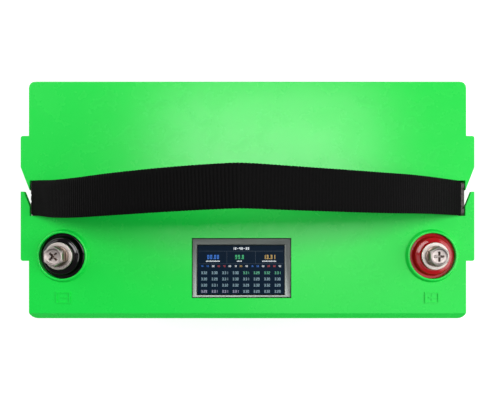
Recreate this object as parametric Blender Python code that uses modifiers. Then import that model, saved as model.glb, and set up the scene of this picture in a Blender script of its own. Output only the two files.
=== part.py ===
"""Deep cycle lithium battery with a webbing carry strap, two screw terminals and a display.

Metres, +Z up. The origin is the centre of the base, +X runs along the battery's length
from the negative end to the positive end, and -Y is the front, where the terminals are.
"""

import math

import bmesh
import bpy
from mathutils import Vector

# ---------------------------------------------------------------- driving dimensions

GAP = 0.0003  # between pieces that touch
PAST = 0.01  # how far a cutter reaches past what it cuts

LID_TOP = 0.215
LID_HEIGHT = 0.054
LID_LENGTH = 0.318
LID_WIDTH = 0.173
LID_WALL = 0.0035
LID_PLATE = 0.004
LID_CORNER = 0.005
LID_INNER_CORNER = 0.003
FRONT_CHAMFER = (0.0042, 0.0033)  # how far in and how far down, along the top's front edge
REAR_CHAMFER = (0.0008, 0.0008)
LID_BOTTOM = LID_TOP - LID_HEIGHT

TUB_INSET = 0.001  # the tub's walls stand this far inside the lid's
TUB_WALL = 0.0035
TUB_FLOOR = 0.004
TUB_CORNER = 0.006
TUB_LENGTH = LID_LENGTH - 2 * TUB_INSET
TUB_WIDTH = LID_WIDTH - 2 * TUB_INSET
TONGUE_HEIGHT = 0.006
TONGUE_SETBACK = 0.0018
REBATE_HEIGHT = 0.0072
REBATE_PLAY = 0.0004
SEAL_THICKNESS = 0.0009
SEAL_CORNER = 0.0028
BASE_RIM = 0.012
BASE_RECESS = 0.0015
BASE_CORNER = 0.004
PANEL_LENGTH = 0.240
PANEL_HEIGHT = 0.104
PANEL_DEPTH = 0.0012
PANEL_CORNER = 0.006
NECK_HEIGHT = 0.0024  # the shadow line that runs round the tub just under the lid
NECK_DEPTH = 0.0012

TAB_REACH = 0.165  # half the overall length
TAB_Y = 0.00125
TAB_HALF_WIDTH = 0.04545
TAB_THICKNESS = 0.008
TAB_CORNER = 0.0016
SLOT_INNER = 0.153
SLOT_OUTER = 0.1585
SLOT_Y = 0.0014
SLOT_HALF_WIDTH = 0.0129
LIP_THICKNESS = 0.003  # of the tab where it is thinned in front of the notch
LIP_INNER = 0.1566
LIP_FRONT = -0.0125
LIP_REAR = 0.0065
POCKET_INNER = 0.1465
POCKET_HALF_WIDTH = 0.020
POCKET_DEPTH = 0.042  # below the lid's top
POCKET_WALL = 0.003

STRAP_WIDTH = 0.0252
STRAP_THICKNESS = 0.0022
END_BAR = Vector((0.012, 0.034, 0.008))
END_NECK_HALF_WIDTH = 0.010
END_NECK_THICKNESS = 0.0044
END_NECK_BELOW_TOP = 0.0032
END_NECK_ROOT = 0.003  # how deep the neck stands in the bar
END_CENTRE = (SLOT_INNER + SLOT_OUTER) / 2

TERMINAL_X = 0.134
TERMINAL_Y = -0.0405
COLLAR_BASE_RADIUS = 0.0197
COLLAR_RIM_RADIUS = 0.0177
COLLAR_RISE = 0.0024
WELL_RADIUS = 0.01675
WELL_FLOOR = LID_TOP - 0.006
O_RING_SPACE = 0.0026
O_RING_RADIUS = 0.0009
BOSS_RADIUS = 0.021
BOSS_BOTTOM = LID_TOP - 0.010
SLEEVE_RADIUS = 0.0127
INSERT_TOP = LID_TOP - 0.0006
INSERT_BOSS_RADIUS = 0.0135
INSERT_BOSS_TOP = LID_TOP + 0.0046
POST_RADIUS = 0.008
POST_HEAD_RADIUS = 0.0094
POST_TOP = LID_TOP + 0.0059
POST_BOTTOM = LID_TOP - 0.019
POST_BORE_RADIUS = 0.00425
POST_BORE_DEPTH = 0.0174
LUG_THICKNESS = 0.002
LUG_RADIUS = 0.0115
LUG_TONGUE = (0.018, 0.010)
LUG_TONGUE_OUT = 0.017
NUT_HEIGHT = 0.0046
NUT_CORNER_RADIUS = 0.0125
THREAD_RADIUS = 0.0039
SCREW_LENGTH = 0.016
FLAT_WASHER_RADIUS = 0.0098
FLAT_WASHER_THICKNESS = 0.0014
SPRING_WASHER_RADIUS = 0.0074
SPRING_WASHER_THICKNESS = 0.0018
SPLIT_GAP = 0.0009
SPLIT_SLANT = math.radians(20)
WASHER_BORE_RADIUS = 0.0043
HEAD_CORNER_RADIUS = 0.0073  # of the hexagon, before its corners are chamfered
HEAD_TOP_RADIUS = 0.0061
HEAD_HEIGHT = 0.0056
HEAD_DISH_RADIUS = 0.0048
HEAD_DISH_DEPTH = 0.0006

MARK_Y = TERMINAL_Y - 0.0305
MARK_LENGTH = 0.0104
MARK_WIDTH = 0.0082
MARK_RISE = 0.0007
MARK_STROKE = 0.0009

BEZEL_CENTRE = Vector((-0.0044, -0.0494))
BEZEL_SIZE = Vector((0.0718, 0.0431))
BEZEL_TOP = LID_TOP - 0.0008
BEZEL_DEPTH = 0.0092
SCREEN_CENTRE = Vector((-0.0049, -0.0508))
SCREEN_SIZE = Vector((0.0638, 0.0360))
SCREEN_TOP = BEZEL_TOP - 0.0010
BOARD_SIZE = Vector((0.090, 0.050, 0.0016))
BOARD_TOP = LID_TOP - 0.0105
STANDOFF_RADIUS = 0.003
STANDOFF_HOLE_TOP = 0.0045  # below the lid's top
STANDOFF_SPREAD = Vector((0.0405, 0.0205))

CELL = Vector((0.049, 0.160, 0.118))
CELL_PITCH = 0.050
CELL_COUNT = 4
CELL_BOTTOM = TUB_FLOOR + 0.0033
CELL_TOP = CELL_BOTTOM + CELL.z
CELL_PAD = Vector((0.028, 0.016, 0.003))
CELL_PAD_Y = 0.050
BUSBAR = Vector((0.070, 0.020, 0.002))
OUTPUT_BAR = Vector((0.026, 0.020, 0.002))
END_PLATE = 0.002
BAND_HEIGHT = 0.012
BAND_THICKNESS = 0.0008
BAND_HEIGHTS = (0.040, 0.095)
END_FOAM_TOP = 0.112
DECK = Vector((0.200, 0.134, 0.002))
DECK_BOTTOM = CELL_TOP + 0.0078
LEAD_WAY = (0.060, 0.120)  # along X, the notches in the deck's front edge that the leads pass
LEAD_WAY_REAR = -0.040
BMS_BASE = Vector((0.150, 0.078, 0.008))
BMS_BOARD = Vector((0.146, 0.074, 0.0016))
BMS_COVER = Vector((0.112, 0.040, 0.009))
BMS_SCREW_SPREAD = (0.067, 0.032)
FIN_SLOTS = 7
FIN_PITCH = 0.020
LEAD_RADIUS = 0.0035
HARNESS_RADIUS = 0.002

# The strap's centreline from the left slot to the right one: x, height over the lid, y.
STRAP_ROUTE = (
    (-0.1558, -0.0020, 0.0014),
    (-0.1550, 0.0012, 0.0014),
    (-0.1515, 0.0046, 0.0011),
    (-0.1410, 0.0140, 0.0000),
    (-0.1280, 0.0258, -0.0015),
    (-0.1060, 0.0442, -0.0024),
    (-0.0760, 0.0602, -0.0019),
    (-0.0400, 0.0730, -0.0006),
    (-0.0080, 0.0786, 0.0006),
    (0.0060, 0.0778, 0.0008),
    (0.0300, 0.0706, 0.0004),
    (0.0620, 0.0588, 0.0001),
    (0.0900, 0.0474, 0.0002),
    (0.1080, 0.0358, 0.0007),
    (0.1270, 0.0202, 0.0012),
    (0.1450, 0.0066, 0.0014),
    (0.1520, 0.0027, 0.0014),
    (0.1552, 0.0006, 0.0014),
    (0.1558, -0.0020, 0.0014),
)

# ---------------------------------------------------------------- scene and helpers


def clear_scene():
    for obj in list(bpy.data.objects):
        bpy.data.objects.remove(obj, do_unlink=True)


def new_collection(name):
    collection = bpy.data.collections.new(name)
    bpy.context.scene.collection.children.link(collection)
    return collection


def material(name, colour, roughness, metallic=0.0):
    made = bpy.data.materials.new(name)
    made.use_nodes = True
    shader = made.node_tree.nodes["Principled BSDF"]
    shader.inputs["Base Color"].default_value = (*colour, 1.0)
    shader.inputs["Roughness"].default_value = roughness
    shader.inputs["Metallic"].default_value = metallic
    return made


def move_to(obj, collection):
    for other in list(obj.users_collection):
        other.objects.unlink(obj)
    collection.objects.link(obj)


def as_part(obj, name, look):
    obj.name = name
    obj.data.materials.clear()
    obj.data.materials.append(look)
    move_to(obj, PARTS)
    return obj


def as_cutter(obj):
    obj.hide_render = True
    obj.display_type = "WIRE"
    move_to(obj, CUTTERS)
    return obj


def new_mesh_object(name, bm):
    mesh = bpy.data.meshes.new(name)
    bm.to_mesh(mesh)
    bm.free()
    obj = bpy.data.objects.new(name, mesh)
    PARTS.objects.link(obj)
    return obj


def box(low, high, bevel=0.0, segments=2):
    """A box between two corners, with its edges rounded if bevel is given."""
    low, high = Vector(low), Vector(high)
    bpy.ops.mesh.primitive_cube_add(size=1, location=(low + high) / 2)
    obj = bpy.context.active_object
    obj.scale = high - low
    bpy.ops.object.transform_apply(location=False, rotation=False, scale=True)
    if bevel:
        rounding = obj.modifiers.new("round", "BEVEL")
        rounding.width = bevel
        rounding.segments = segments
        rounding.limit_method = "NONE"
    return obj


def centred_box(centre, size, bevel=0.0, segments=2):
    centre, half = Vector(centre), Vector(size) / 2
    return box(centre - half, centre + half, bevel, segments)


def cylinder(x, y, bottom, top, radius, sides=48):
    bpy.ops.mesh.primitive_cylinder_add(
        vertices=sides, radius=radius, depth=top - bottom, location=(x, y, (bottom + top) / 2)
    )
    return bpy.context.active_object


def turned(profile, x=0.0, y=0.0, steps=48, ring=False):
    """A turned shape about the vertical line through x, y. Its profile is (radius, z), from the
    outer top down, and a ring's profile closes on itself."""
    bm = bmesh.new()
    points = [bm.verts.new((radius, 0.0, z)) for radius, z in profile]
    for first, second in zip(points, points[1:]):
        bm.edges.new((first, second))
    if ring:
        bm.edges.new((points[-1], points[0]))
    obj = new_mesh_object("turned", bm)
    obj.location = (x, y, 0.0)
    turn = obj.modifiers.new("turn", "SCREW")
    turn.steps = steps
    turn.render_steps = steps
    turn.use_merge_vertices = True
    turn.merge_threshold = 0.00001
    return obj


def rounded_outline(half_x, half_y, radius, arc_points=5):
    """The corners of a rectangle with round corners, anticlockwise."""
    outline = []
    for quarter, (sx, sy) in enumerate(((1, 1), (-1, 1), (-1, -1), (1, -1))):
        for step in range(arc_points):
            angle = math.pi / 2 * (quarter + step / (arc_points - 1))
            outline.append(
                (
                    sx * (half_x - radius) + radius * math.cos(angle),
                    sy * (half_y - radius) + radius * math.sin(angle),
                )
            )
    return outline


def as_mesh(curve):
    """A mesh object in place of a curve object, with its caps welded."""
    bpy.context.view_layer.update()
    graph = bpy.context.evaluated_depsgraph_get()
    mesh = bpy.data.meshes.new_from_object(curve.evaluated_get(graph))
    bm = bmesh.new()
    bm.from_mesh(mesh)
    bmesh.ops.remove_doubles(bm, verts=bm.verts, dist=0.00001)
    bm.to_mesh(mesh)
    bm.free()
    obj = bpy.data.objects.new(curve.name, mesh)
    PARTS.objects.link(obj)
    obj.matrix_world = curve.matrix_world
    bpy.data.objects.remove(curve)
    return obj


def plate(outline, bottom, top):
    """A flat plate between two heights, from its outline in the XY plane."""
    data = bpy.data.curves.new("plate", "CURVE")
    data.dimensions = "2D"
    data.fill_mode = "BOTH"
    data.extrude = (top - bottom) / 2
    spline = data.splines.new("POLY")
    spline.points.add(len(outline) - 1)
    for point, (x, y) in zip(spline.points, outline):
        point.co = (x, y, 0.0, 1.0)
    spline.use_cyclic_u = True
    curve = bpy.data.objects.new("plate", data)
    curve.location.z = (bottom + top) / 2
    PARTS.objects.link(curve)
    return as_mesh(curve)


def slab(half_x, half_y, radius, bottom, top):
    return plate(rounded_outline(half_x, half_y, radius), bottom, top)


def boolean(target, tool, operation):
    step = target.modifiers.new(operation.lower(), "BOOLEAN")
    step.operation = operation
    step.object = tool
    as_cutter(tool)


def cut(target, *tools):
    for tool in tools:
        boolean(target, tool, "DIFFERENCE")


def join(target, *tools):
    for tool in tools:
        boolean(target, tool, "UNION")


def smooth(obj, degrees=30):
    for face in obj.data.polygons:
        face.use_smooth = True
    obj.data.set_sharp_from_angle(angle=math.radians(degrees))
    return obj


def curve_through(points, steps):
    """Points along a smooth curve through the given ones, steps to a stretch."""
    knots = [Vector(p) for p in points]
    ends = [2 * knots[0] - knots[1], *knots, 2 * knots[-1] - knots[-2]]
    found = []
    for before, start, stop, after in zip(ends, ends[1:], ends[2:], ends[3:]):
        for step in range(steps):
            t = step / steps
            found.append(
                0.5
                * (
                    2 * start
                    + (stop - before) * t
                    + (2 * before - 5 * start + 4 * stop - after) * t**2
                    + (3 * start - before - 3 * stop + after) * t**3
                )
            )
    return [*found, knots[-1]]


def tube(name, route, radius, look, steps=3):
    """A wire or lead of round section along a smooth curve through its route's points."""
    path = curve_through(route, steps)
    data = bpy.data.curves.new(name, "CURVE")
    data.dimensions = "3D"
    data.bevel_depth = radius
    data.bevel_resolution = 2
    data.use_fill_caps = True
    spline = data.splines.new("POLY")
    spline.points.add(len(path) - 1)
    for point, place in zip(spline.points, path):
        point.co = (*place, 1.0)
    obj = bpy.data.objects.new(name, data)
    PARTS.objects.link(obj)
    return as_part(obj, name, look)


def ribbon(name, centres, across, thickness, look):
    """A flat band: its centreline, its half width as a vector, and its thickness."""
    bm = bmesh.new()
    rows = [[bm.verts.new(c - across), bm.verts.new(c + across)] for c in centres]
    for (a, b), (c, d) in zip(rows, rows[1:]):
        bm.faces.new((a, b, d, c))
    bmesh.ops.recalc_face_normals(bm, faces=bm.faces)
    obj = new_mesh_object(name, bm)
    solid = obj.modifiers.new("thickness", "SOLIDIFY")
    solid.thickness = thickness
    solid.offset = 0.0
    solid.use_even_offset = True
    return as_part(obj, name, look)


# ---------------------------------------------------------------- case


def make_tub():
    half_x, half_y = TUB_LENGTH / 2, TUB_WIDTH / 2
    rim = LID_BOTTOM - GAP
    tub = slab(half_x, half_y, TUB_CORNER, 0.0, rim)
    tongue = slab(
        half_x - TONGUE_SETBACK, half_y - TONGUE_SETBACK, TUB_CORNER - TONGUE_SETBACK,
        rim - TUB_FLOOR, rim + TONGUE_HEIGHT,
    )
    hollow = slab(
        half_x - TUB_WALL, half_y - TUB_WALL, TUB_CORNER - TUB_WALL, TUB_FLOOR, LID_BOTTOM + PAST
    )
    base_recess = slab(half_x - BASE_RIM, half_y - BASE_RIM, BASE_CORNER, -PAST, BASE_RECESS)
    neck = slab(half_x + PAST, half_y + PAST, TUB_CORNER, rim - NECK_HEIGHT, rim + PAST)
    cut(neck, slab(half_x - NECK_DEPTH, half_y - NECK_DEPTH, TUB_CORNER - NECK_DEPTH, 0.0, 2 * rim))
    cut(tub, neck, side_panel(-half_y, rim / 2), side_panel(half_y, rim / 2))
    join(tub, tongue)
    cut(tub, hollow, base_recess)
    as_part(tub, "case_tub", GREEN)


def side_panel(y, z):
    """The shallow panel with round corners that is let into the tub's front or rear."""
    outline = rounded_outline(PANEL_LENGTH / 2, PANEL_HEIGHT / 2, PANEL_CORNER)
    panel = plate(outline, -PANEL_DEPTH, PANEL_DEPTH)
    panel.rotation_euler.x = math.pi / 2
    panel.location = (0.0, y, z)
    return panel


def pocket_box(side, grow):
    """The space under a tab where the strap's end bar runs, or with grow its outer wall."""
    inner, outer = side * (POCKET_INNER - grow), side * (TAB_REACH + PAST)
    reach = POCKET_HALF_WIDTH + grow
    return box(
        (min(inner, outer), SLOT_Y - reach, LID_TOP - POCKET_DEPTH - grow),
        (max(inner, outer), SLOT_Y + reach, LID_TOP - TAB_THICKNESS + grow / 2),
    )


def lid_hollow():
    """The inside of the lid, with the two pockets' walls left standing in it."""
    half_x, half_y = LID_LENGTH / 2 - LID_WALL, LID_WIDTH / 2 - LID_WALL
    hollow = slab(half_x, half_y, LID_INNER_CORNER, LID_BOTTOM - 2 * PAST, LID_TOP - LID_PLATE)
    for side in (-1, 1):
        cut(hollow, pocket_box(side, POCKET_WALL))
    return as_cutter(hollow)


def edge_cutter(side, chamfer):
    """A three-sided bar that takes the chamfer off the front edge for side -1, or the rear for 1."""
    y, z = LID_WIDTH / 2, LID_TOP
    width, drop = chamfer
    outline = ((y - 2 * width, z + drop), (y + width, z - 2 * drop), (y + width, z + drop))
    reach = LID_LENGTH / 2 + PAST
    bar = plate([(side * across, up) for across, up in outline], -reach, reach)
    bar.rotation_euler = (math.pi / 2, 0.0, math.pi / 2)
    return bar


def notch_cutter(side):
    """The slanting way in from the tab's outer edge to the strap's slot."""
    outline = (
        (0.1670, 0.0291),
        (0.1570, 0.0033),
        (0.1570, -0.0084),
        (0.1628, 0.0062),
        (0.1670, 0.0062),
    )
    return plate([(side * x, y) for x, y in outline], LID_TOP - 2 * PAST, LID_TOP + PAST)


def upright_slot(side, inner, outer, front, rear, top):
    """A box that cuts up through a tab to the given height, mirrored for the left side."""
    low, high = sorted((side * inner, side * outer))
    return box((low, front, LID_TOP - 2 * PAST), (high, rear, top))


def make_tabs():
    """The two end tabs, as one plate right across the lid."""
    corners = rounded_outline(TAB_REACH, TAB_HALF_WIDTH, TAB_CORNER)
    return plate([(x, y + TAB_Y) for x, y in corners], LID_TOP - TAB_THICKNESS, LID_TOP)


def make_lid():
    lid = slab(LID_LENGTH / 2, LID_WIDTH / 2, LID_CORNER, LID_BOTTOM, LID_TOP)
    cut(lid, edge_cutter(-1, FRONT_CHAMFER), edge_cutter(1, REAR_CHAMFER))
    join(lid, make_tabs())
    cut(lid, lid_hollow())
    rebate = slab(
        TUB_LENGTH / 2 - TONGUE_SETBACK + REBATE_PLAY, TUB_WIDTH / 2 - TONGUE_SETBACK + REBATE_PLAY,
        TUB_CORNER - TONGUE_SETBACK, LID_BOTTOM - PAST, LID_BOTTOM + REBATE_HEIGHT,
    )
    cut(lid, rebate)
    for side in (-1, 1):
        slot = upright_slot(
            side, SLOT_INNER, SLOT_OUTER,
            SLOT_Y - SLOT_HALF_WIDTH, SLOT_Y + SLOT_HALF_WIDTH, LID_TOP + PAST,
        )
        thinning = upright_slot(
            side, LIP_INNER, TAB_REACH + PAST / 2, LIP_FRONT, LIP_REAR, LID_TOP - LIP_THICKNESS
        )
        cut(lid, pocket_box(side, 0.0), slot, notch_cutter(side), thinning)
        add_terminal_seat(lid, side)
        add_polarity_mark(lid, side)
    add_display_seat(lid)
    as_part(lid, "lid", GREEN)


def add_terminal_seat(lid, side):
    """The collar, the well inside it and the boss below, as one ring let into the top plate."""
    x, bore = side * TERMINAL_X, SLEEVE_RADIUS + GAP
    plate_bottom = LID_TOP - LID_PLATE
    seat = turned(
        (
            (COLLAR_RIM_RADIUS, LID_TOP + COLLAR_RISE),
            (COLLAR_BASE_RADIUS, LID_TOP - 0.0004),
            (COLLAR_BASE_RADIUS, plate_bottom + 0.0004),
            (BOSS_RADIUS, plate_bottom - 0.0004),
            (BOSS_RADIUS, BOSS_BOTTOM),
            (bore, BOSS_BOTTOM),
            (bore, WELL_FLOOR),
            (WELL_RADIUS, WELL_FLOOR),
            (WELL_RADIUS, LID_TOP + COLLAR_RISE),
        ),
        x, TERMINAL_Y, ring=True,
    )
    seat_hole = COLLAR_BASE_RADIUS - 0.0009
    cut(lid, cylinder(x, TERMINAL_Y, plate_bottom - PAST, LID_TOP + PAST, seat_hole))
    join(lid, seat)


def add_polarity_mark(lid, side):
    """A raised frame beside each terminal, with a plus in it on the right and a minus on the left."""
    x, low = side * TERMINAL_X, LID_TOP - 0.001
    top = LID_TOP + MARK_RISE
    half_x, half_y = MARK_LENGTH / 2, MARK_WIDTH / 2
    frame = box((x - half_x, MARK_Y - half_y, low), (x + half_x, MARK_Y + half_y, top))
    inside = centred_box(
        (x, MARK_Y, LID_TOP + MARK_RISE),
        (MARK_LENGTH - 2 * MARK_STROKE, MARK_WIDTH - 2 * MARK_STROKE, 0.002),
    )
    cut(frame, inside)
    join(lid, frame)
    stroke = 0.0050
    join(lid, centred_box((x, MARK_Y, LID_TOP - 0.0002), (stroke, MARK_STROKE, 0.0013)))
    if side > 0:
        join(lid, centred_box((x, MARK_Y, LID_TOP - 0.0003), (MARK_STROKE, stroke, 0.0014)))


def standoff_places():
    """The two opposite corners where the display's board is screwed up under the lid."""
    return [
        (BEZEL_CENTRE.x + s * STANDOFF_SPREAD.x, BEZEL_CENTRE.y + s * STANDOFF_SPREAD.y)
        for s in (-1, 1)
    ]


def add_display_seat(lid):
    """The display's window, and the posts on the underside that its board is screwed to."""
    hole = BEZEL_SIZE / 2 + Vector((GAP, GAP))
    window = box(
        (BEZEL_CENTRE.x - hole.x, BEZEL_CENTRE.y - hole.y, LID_TOP - 2 * PAST),
        (BEZEL_CENTRE.x + hole.x, BEZEL_CENTRE.y + hole.y, LID_TOP + PAST),
    )
    for x, y in standoff_places():
        join(lid, cylinder(x, y, BOARD_TOP + GAP, LID_TOP - 0.002, STANDOFF_RADIUS, 16))
    cut(lid, window)
    for x, y in standoff_places():
        cut(lid, cylinder(x, y, BOARD_TOP - PAST, LID_TOP - STANDOFF_HOLE_TOP, 0.0013, 12))


def make_seal():
    """The rubber ring in the rebate, between the tub's tongue and the lid's shoulder."""
    bottom = LID_BOTTOM + TONGUE_HEIGHT
    outer = (TUB_LENGTH / 2 - TONGUE_SETBACK, TUB_WIDTH / 2 - TONGUE_SETBACK)
    width = TUB_WALL - TONGUE_SETBACK - GAP
    seal = slab(*outer, TUB_CORNER - TONGUE_SETBACK, bottom, bottom + SEAL_THICKNESS)
    hole = slab(outer[0] - width, outer[1] - width, SEAL_CORNER, bottom - PAST, bottom + PAST)
    cut(seal, hole)
    as_part(seal, "lid_seal", RUBBER)


# ---------------------------------------------------------------- carry strap


def strap_centres(steps=4):
    """Points along the middle of the webbing, with a drop into each slot at the ends."""
    route = [(x, y, LID_TOP + height) for x, height, y in STRAP_ROUTE]
    return curve_through(route, steps)


def make_strap():
    across = Vector((0.0, STRAP_WIDTH / 2, 0.0))
    strap = ribbon("strap_webbing", strap_centres(), across, STRAP_THICKNESS, BLACK_NYLON)
    smooth(strap)


def make_strap_end(side, name):
    """The moulded bar that holds the webbing's end under the tab, with its neck in the slot."""
    x = side * END_CENTRE
    bar_top = LID_TOP - TAB_THICKNESS - 0.0005
    bar = centred_box((x, SLOT_Y, bar_top - END_BAR.z / 2), END_BAR, 0.001)
    neck_top, neck_bottom = LID_TOP - END_NECK_BELOW_TOP, bar_top - END_NECK_ROOT
    neck = centred_box(
        (x, SLOT_Y, (neck_top + neck_bottom) / 2),
        (END_NECK_THICKNESS, 2 * END_NECK_HALF_WIDTH, neck_top - neck_bottom),
    )
    join(bar, neck)
    as_part(bar, name, GREY_PLASTIC)


# ---------------------------------------------------------------- terminals


def make_terminal(side, name, insert_look):
    x, y = side * TERMINAL_X, TERMINAL_Y
    disc_bottom = WELL_FLOOR + O_RING_SPACE
    sleeve_bottom = BOSS_BOTTOM - GAP
    bore = POST_RADIUS + GAP
    insert = turned(
        (
            (INSERT_BOSS_RADIUS - 0.0012, INSERT_BOSS_TOP),
            (INSERT_BOSS_RADIUS - 0.0003, INSERT_BOSS_TOP - 0.0004),
            (INSERT_BOSS_RADIUS, INSERT_BOSS_TOP - 0.0012),
            (INSERT_BOSS_RADIUS + 0.0002, INSERT_TOP + 0.0012),
            (INSERT_BOSS_RADIUS + 0.0012, INSERT_TOP),
            (WELL_RADIUS - GAP, INSERT_TOP),
            (WELL_RADIUS - GAP, disc_bottom),
            (SLEEVE_RADIUS, disc_bottom),
            (SLEEVE_RADIUS, sleeve_bottom),
            (bore, sleeve_bottom),
            (bore, INSERT_BOSS_TOP),
        ),
        x, y, ring=True,
    )
    as_part(insert, f"{name}_terminal_insert", insert_look)

    post = turned(
        (
            (0.0, POST_TOP - POST_BORE_DEPTH),
            (POST_BORE_RADIUS, POST_TOP - POST_BORE_DEPTH),
            (POST_BORE_RADIUS, POST_TOP),
            (POST_HEAD_RADIUS, POST_TOP),
            (POST_HEAD_RADIUS, INSERT_BOSS_TOP + GAP),
            (POST_RADIUS, INSERT_BOSS_TOP + GAP),
            (POST_RADIUS, POST_BOTTOM),
            (0.0, POST_BOTTOM),
        ),
        x, y, steps=40,
    )
    as_part(post, f"{name}_post", TIN)

    bpy.ops.mesh.primitive_torus_add(
        location=(x, y, WELL_FLOOR + GAP + O_RING_RADIUS),
        major_radius=SLEEVE_RADIUS + 2 * O_RING_RADIUS, minor_radius=O_RING_RADIUS,
        major_segments=28, minor_segments=8,
    )
    as_part(bpy.context.active_object, f"{name}_o_ring", RUBBER)

    lug_top = sleeve_bottom - GAP
    lug = cylinder(x, y, lug_top - LUG_THICKNESS, lug_top, LUG_RADIUS, 24)
    tongue = centred_box(
        (x - side * LUG_TONGUE_OUT, y, lug_top - LUG_THICKNESS / 2),
        (*LUG_TONGUE, LUG_THICKNESS),
    )
    join(lug, tongue)
    cut(lug, cylinder(x, y, lug_top - PAST, lug_top + PAST, bore, 24))
    as_part(lug, f"{name}_lug", TIN)

    nut_top = lug_top - LUG_THICKNESS - GAP
    nut = cylinder(x, y, nut_top - NUT_HEIGHT, nut_top, NUT_CORNER_RADIUS, 6)
    cut(nut, cylinder(x, y, nut_top - PAST, nut_top + PAST, bore, 24))
    as_part(nut, f"{name}_post_nut", BRASS)


def make_screw(side, name):
    x, y = side * TERMINAL_X, TERMINAL_Y
    washer_bottom = POST_TOP + GAP
    washer_top = washer_bottom + FLAT_WASHER_THICKNESS
    soft = 0.0002
    flat = turned(
        (
            (FLAT_WASHER_RADIUS - soft, washer_top),
            (FLAT_WASHER_RADIUS, washer_top - soft),
            (FLAT_WASHER_RADIUS, washer_bottom + soft),
            (FLAT_WASHER_RADIUS - soft, washer_bottom),
            (WASHER_BORE_RADIUS, washer_bottom),
            (WASHER_BORE_RADIUS, washer_top),
        ),
        x, y, ring=True,
    )
    as_part(flat, f"{name}_flat_washer", STEEL)

    split_bottom = washer_top + GAP
    split_top = split_bottom + SPRING_WASHER_THICKNESS
    split = turned(
        (
            (SPRING_WASHER_RADIUS, split_top),
            (SPRING_WASHER_RADIUS, split_bottom),
            (WASHER_BORE_RADIUS, split_bottom),
            (WASHER_BORE_RADIUS, split_top),
        ),
        x, y, steps=40, ring=True,
    )
    split_gap = centred_box((x, y - 0.006, split_top), (SPLIT_GAP, 0.006, PAST))
    split_gap.rotation_euler.y = SPLIT_SLANT
    cut(split, split_gap)
    as_part(split, f"{name}_spring_washer", STEEL)

    head_bottom = split_top + GAP
    head_top = head_bottom + HEAD_HEIGHT
    head = cylinder(x, y, head_bottom, head_top, HEAD_CORNER_RADIUS, 6)
    reach = HEAD_CORNER_RADIUS + 0.001
    chamfer = turned(
        (
            (0.0, head_top + 0.0001),
            (HEAD_TOP_RADIUS, head_top + 0.0001),
            (reach, head_top - 0.45 * (reach - HEAD_TOP_RADIUS)),
            (reach, head_bottom - 0.001),
            (0.0, head_bottom - 0.001),
        ),
        x, y, steps=40,
    )
    boolean(head, chamfer, "INTERSECT")
    tip = head_bottom - SCREW_LENGTH
    shank = turned(
        (
            (0.0, head_bottom + 0.001),
            (THREAD_RADIUS, head_bottom + 0.001),
            (THREAD_RADIUS, tip + 0.0008),
            (THREAD_RADIUS - 0.0008, tip),
            (0.0, tip),
        ),
        x, y, steps=32,
    )
    join(head, shank)
    dish_floor = head_top - HEAD_DISH_DEPTH
    cut(head, cylinder(x, y, dish_floor, head_top + 0.002, HEAD_DISH_RADIUS, 32))
    cut(head, cross_recess(x, y, dish_floor))
    as_part(head, f"{name}_screw", STEEL)


def cross_recess(x, y, top, arm=0.0035, width=0.0008, depth=0.0030):
    """A cross that tapers to its bottom, as a cross-head driver's tip does."""
    corners = [(width, arm), (width, width), (arm, width)]
    outline = []
    for quarter in range(4):
        turn = math.pi / 2 * quarter
        for cx, cy in reversed(corners):
            outline.append(
                (
                    cx * math.cos(turn) - cy * math.sin(turn),
                    cx * math.sin(turn) + cy * math.cos(turn),
                )
            )
    bm = bmesh.new()
    above = 0.001
    upper = [bm.verts.new((x + px, y + py, top + above)) for px, py in outline]
    lower = [bm.verts.new((x + 0.45 * px, y + 0.45 * py, top - depth)) for px, py in outline]
    bm.faces.new(upper)
    bm.faces.new(reversed(lower))
    for k in range(len(outline)):
        following = (k + 1) % len(outline)
        bm.faces.new((upper[k], lower[k], lower[following], upper[following]))
    bmesh.ops.recalc_face_normals(bm, faces=bm.faces)
    return new_mesh_object("cross_recess", bm)


# ---------------------------------------------------------------- display


def make_display():
    outer, opening = BEZEL_SIZE / 2, SCREEN_SIZE / 2
    bottom = BEZEL_TOP - BEZEL_DEPTH
    bezel = box(
        (BEZEL_CENTRE.x - outer.x, BEZEL_CENTRE.y - outer.y, bottom),
        (BEZEL_CENTRE.x + outer.x, BEZEL_CENTRE.y + outer.y, BEZEL_TOP),
    )
    hole = box(
        (SCREEN_CENTRE.x - opening.x, SCREEN_CENTRE.y - opening.y, bottom - PAST),
        (SCREEN_CENTRE.x + opening.x, SCREEN_CENTRE.y + opening.y, BEZEL_TOP + PAST),
    )
    cut(bezel, hole)
    as_part(bezel, "display_bezel", STEEL)

    panel = box(
        (
            SCREEN_CENTRE.x - opening.x + GAP,
            SCREEN_CENTRE.y - opening.y + GAP,
            BOARD_TOP + GAP,
        ),
        (
            SCREEN_CENTRE.x + opening.x - GAP,
            SCREEN_CENTRE.y + opening.y - GAP,
            SCREEN_TOP,
        ),
    )
    as_part(panel, "display_panel", SCREEN)

    board = centred_box(
        (BEZEL_CENTRE.x, BEZEL_CENTRE.y, BOARD_TOP - BOARD_SIZE.z / 2), BOARD_SIZE
    )
    for number, (x, y) in enumerate(standoff_places(), 1):
        cut(board, cylinder(x, y, BOARD_TOP - PAST, BOARD_TOP + PAST, 0.0016, 12))
        below = BOARD_TOP - BOARD_SIZE.z - GAP
        head = cylinder(x, y, below - 0.0016, below, 0.0026, 16)
        join(head, cylinder(x, y, below - 0.001, below + 0.006, 0.0011, 12))
        as_part(head, f"display_board_screw_{number}", STEEL)
    as_part(board, "display_board", BOARD_GREEN)


# ---------------------------------------------------------------- cells and their block


def cell_x(number):
    return (number - (CELL_COUNT - 1) / 2) * CELL_PITCH


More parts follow.
